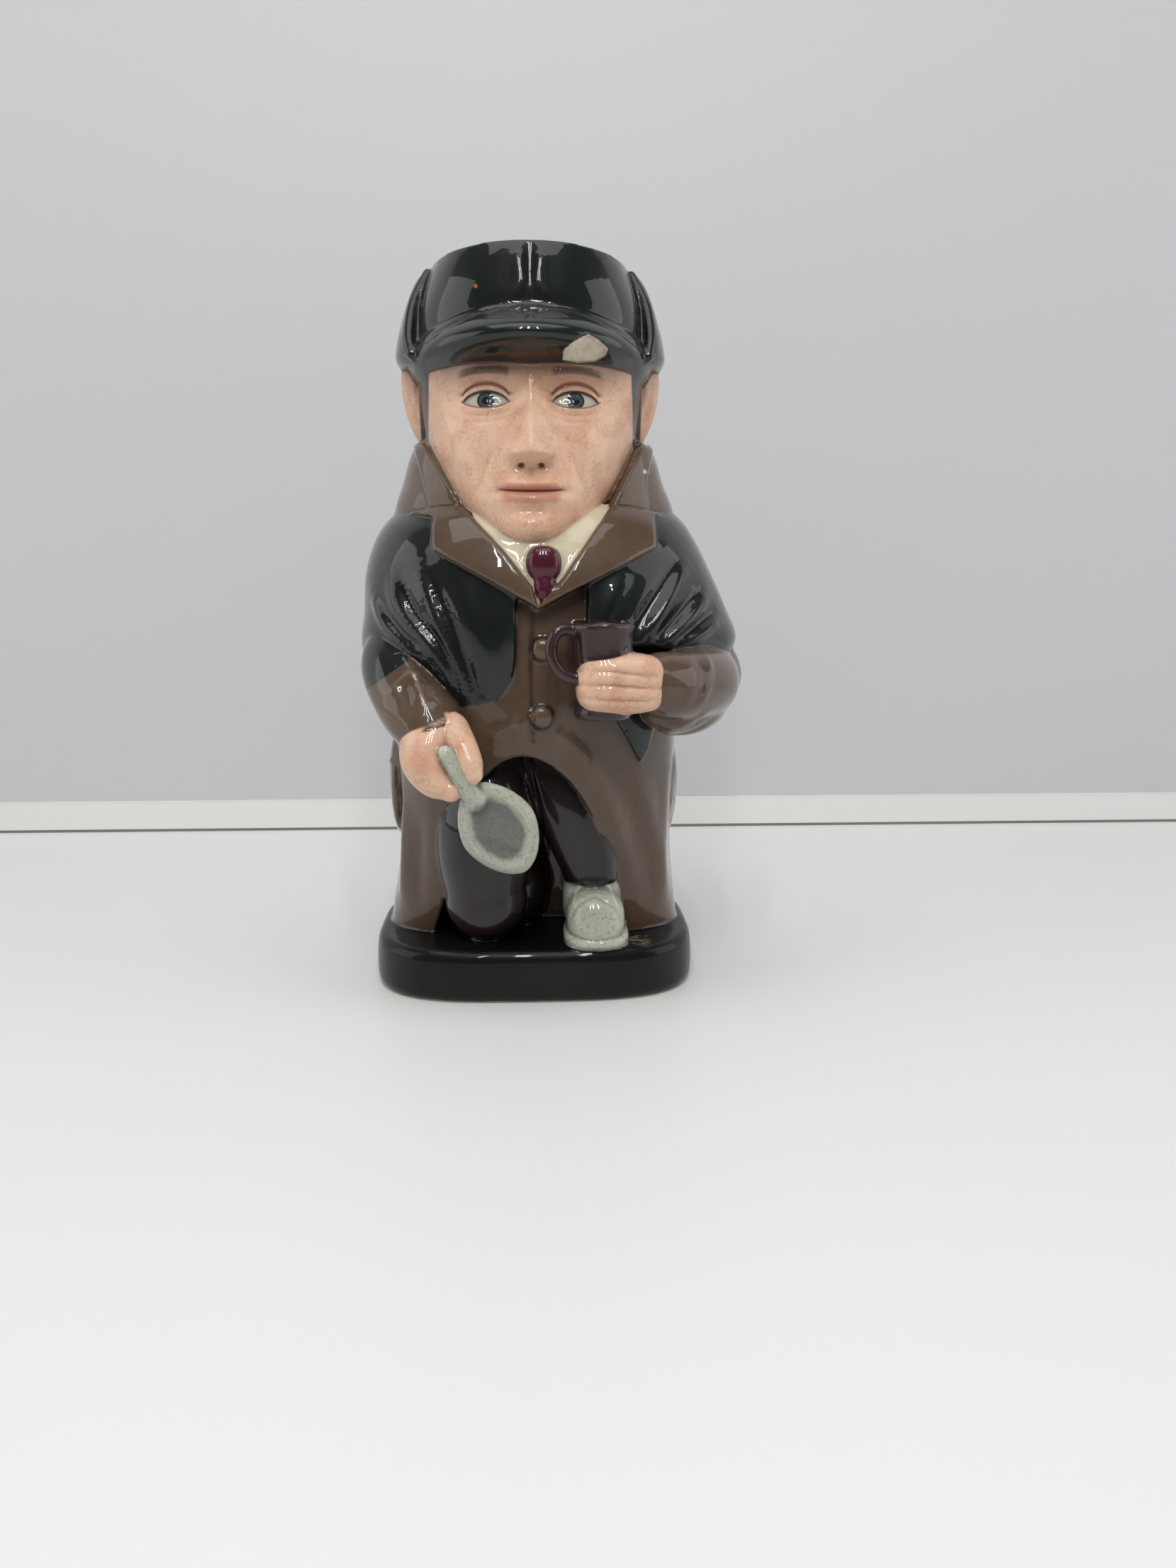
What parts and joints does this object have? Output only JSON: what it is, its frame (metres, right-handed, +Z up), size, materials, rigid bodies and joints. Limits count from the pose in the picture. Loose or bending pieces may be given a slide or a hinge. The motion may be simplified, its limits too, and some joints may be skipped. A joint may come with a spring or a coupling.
{
  "type": "toby jug",
  "caption": "Hollow glazed earthenware jug in the form of a kneeling countryman in a peaked cap and caped coat, on a plinth, open at the cap, with a loop handle behind.",
  "frame": {"origin": "middle of the plinth's flat underside", "axes": "+Z up to the cap, -Y the way the figure faces, +X towards the figure's left hand, the handle towards +Y"},
  "size_m": [0.1248, 0.1381, 0.228],
  "materials": {
    "glazed_earthenware": "hand-painted underglaze colours in dark green, brown, cream, maroon, grey and peach under a clear glossy glaze"
  },
  "bodies": {
    "root": {"toby_jug": "glazed_earthenware"}
  },
  "joints": []
}
